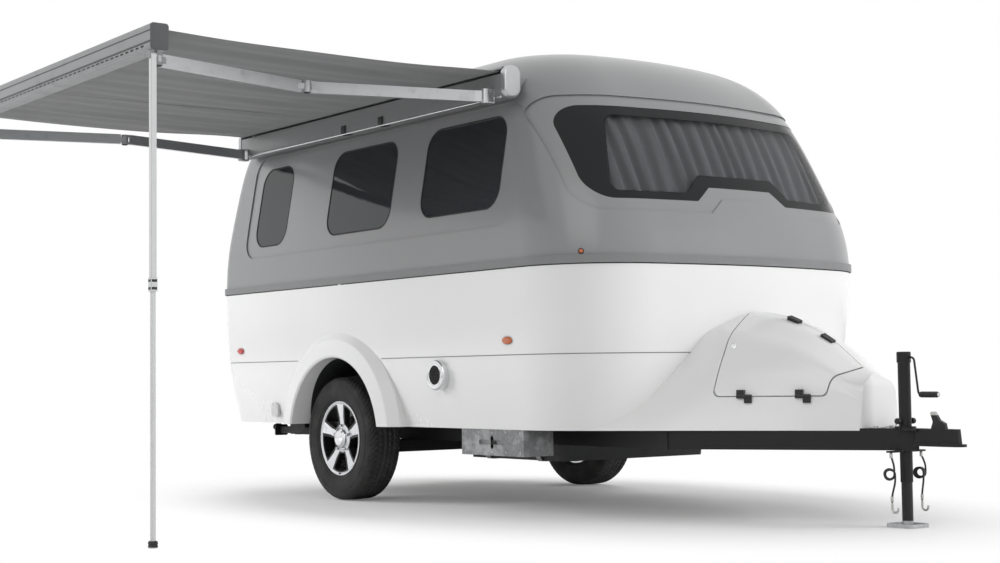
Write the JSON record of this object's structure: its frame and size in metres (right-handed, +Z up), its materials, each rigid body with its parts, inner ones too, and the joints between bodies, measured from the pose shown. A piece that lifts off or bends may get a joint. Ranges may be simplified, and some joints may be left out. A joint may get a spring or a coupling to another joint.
{
  "type": "travel caravan",
  "caption": "Moulded one-axle travel caravan on its tongue jack, with a rear entry door, a front gas locker, and a side awning that folds out on arms and stands on legs.",
  "frame": {"origin": "on the ground, under the middle of the jack foot", "axes": "+X forward to the coupler, +Y to the left side, +Z up"},
  "size_m": [5.047, 4.1108, 2.52],
  "materials": {
    "lower_white": "white gelcoat, glossy",
    "upper_grey": "silver-grey gelcoat, glossy",
    "belt_grey": "satin grey",
    "window_glass": "dark tinted acrylic",
    "curtain_cloth": "grey pleated cloth",
    "floor_board": "plywood",
    "black_plastic": "black moulded",
    "chassis_black": "black satin coating",
    "zinc": "galvanised",
    "crank_black": "black with a rubber grip",
    "lamp_red": "clear coloured lens",
    "vent_chrome": "polished",
    "hinge_black": "black",
    "awning_silver": "anodised",
    "awning_cloth": "woven grey cloth",
    "cable_black": "black jacket",
    "hook_steel": "zinc plated",
    "tyre": "rubber",
    "alloy": "polished face",
    "cap_chrome": "polished",
    "lead_grey": "grey satin",
    "leg_white": "white coated"
  },
  "bodies": {
    "caravan": {"lower_shell": "lower_white", "wheel_flares": "lower_white", "gas_locker": "lower_white", "upper_shell": "upper_grey", "rear_cap": "upper_grey", "roof_vent": "upper_grey", "belt_rail": "belt_grey", "front_window": "window_glass", "side_windows_right": "window_glass", "side_windows_left": "window_glass", "front_curtain": "curtain_cloth", "floor": "floor_board", "wheel_wells": "black_plastic", "water_tank": "black_plastic", "socket_cover": "black_plastic", "main_rails": "chassis_black", "crossmembers": "chassis_black", "drawbars": "chassis_black", "axle_beam": "chassis_black", "torsion_arms": "chassis_black", "coupler": "chassis_black", "stabilisers": "chassis_black", "jack_tube": "chassis_black", "jack_leg": "zinc", "coupler_latch": "zinc", "service_box": "zinc", "jack_crank": "crank_black", "lamps": "lamp_red", "side_vent": "vent_chrome", "hinge_pins": "hinge_black", "awning_rail": "awning_silver", "awning_cassette": "awning_silver", "cassette_caps": "awning_silver", "arm_brackets": "awning_silver", "canopy": "awning_cloth", "safety_cable_right": "cable_black", "safety_cable_left": "cable_black", "safety_coil_right": "cable_black", "safety_coil_left": "cable_black", "safety_hook_right": "hook_steel", "safety_hook_left": "hook_steel"},
    "wheel_right": {"tyre_right": "tyre", "rim_right": "alloy", "hub_cap_right": "cap_chrome"},
    "wheel_left": {"tyre_left": "tyre", "rim_left": "alloy", "hub_cap_left": "cap_chrome"},
    "door": {"entry_door": "upper_grey", "door_window": "window_glass", "door_fittings": "hinge_black"},
    "lid": {"locker_lid": "lower_white", "lid_hinges": "hinge_black", "lid_latches": "hinge_black"},
    "arm_front_inner": {"inner_arm_front": "awning_silver"},
    "arm_front_outer": {"outer_arm_front": "awning_silver"},
    "lead": {"lead_bar": "lead_grey"},
    "leg_front": {"awning_leg_front": "leg_white"},
    "leg_rear": {"awning_leg_rear": "leg_white"},
    "arm_rear_inner": {"inner_arm_rear": "awning_silver"},
    "arm_rear_outer": {"outer_arm_rear": "awning_silver"}
  },
  "joints": [
    {"name": "wheel_right_spin", "type": "hinge", "parent": "caravan", "child": "wheel_right", "pos_m": [-3.35, -0.888, 0.36], "axis": [0, 1, 0], "continuous": true},
    {"name": "wheel_left_spin", "type": "hinge", "parent": "caravan", "child": "wheel_left", "pos_m": [-3.35, 0.888, 0.36], "axis": [0, 1, 0], "continuous": true},
    {"name": "entry_door_swing", "type": "hinge", "parent": "caravan", "child": "door", "pos_m": [-4.7, -0.013, 1.3], "axis": [0, 0, -1], "range_deg": [0, 100]},
    {"name": "locker_lid_swing", "type": "hinge", "parent": "caravan", "child": "lid", "pos_m": [-0.76365, -0.47782, 0.6], "axis": [0.8724, 0.4889, 0], "range_deg": [0, 110]},
    {"name": "awning_fold", "type": "hinge", "parent": "caravan", "child": "arm_front_inner", "pos_m": [-1.72, -1.098, 2.128], "axis": [0, 0, -1], "range_deg": [0, 72.9], "deforming": ["canopy"]},
    {"name": "awning_elbow_front", "type": "hinge", "parent": "arm_front_inner", "child": "arm_front_outer", "pos_m": [-1.96371, -1.9955, 2.128], "axis": [0, 0, 1], "range_deg": [0, 145.8]},
    {"name": "awning_wrist_front", "type": "hinge", "parent": "arm_front_outer", "child": "lead", "pos_m": [-1.72, -2.893, 2.128], "axis": [0, 0, -1], "range_deg": [0, 72.9]},
    {"name": "awning_shoulder_rear", "type": "hinge", "parent": "caravan", "child": "arm_rear_inner", "pos_m": [-4.33, -1.098, 2.128], "axis": [0, 0, 1], "range_deg": [0, 72.9]},
    {"name": "awning_elbow_rear", "type": "hinge", "parent": "arm_rear_inner", "child": "arm_rear_outer", "pos_m": [-4.08629, -1.9955, 2.128], "axis": [0, 0, -1], "range_deg": [0, 145.8]},
    {"name": "awning_leg_front_fold", "type": "hinge", "parent": "lead", "child": "leg_front", "pos_m": [-1.565, -2.989, 2.108], "axis": [0, 1, 0], "range_deg": [0, 90]},
    {"name": "awning_leg_rear_fold", "type": "hinge", "parent": "lead", "child": "leg_rear", "pos_m": [-4.485, -2.953, 2.108], "axis": [0, -1, 0], "range_deg": [0, 90]}
  ],
  "couplings": [
    {"joint": "awning_elbow_front", "follows": "awning_fold", "ratio": 2},
    {"joint": "awning_wrist_front", "follows": "awning_fold", "ratio": 1},
    {"joint": "awning_shoulder_rear", "follows": "awning_fold", "ratio": 1},
    {"joint": "awning_elbow_rear", "follows": "awning_fold", "ratio": 2}
  ]
}
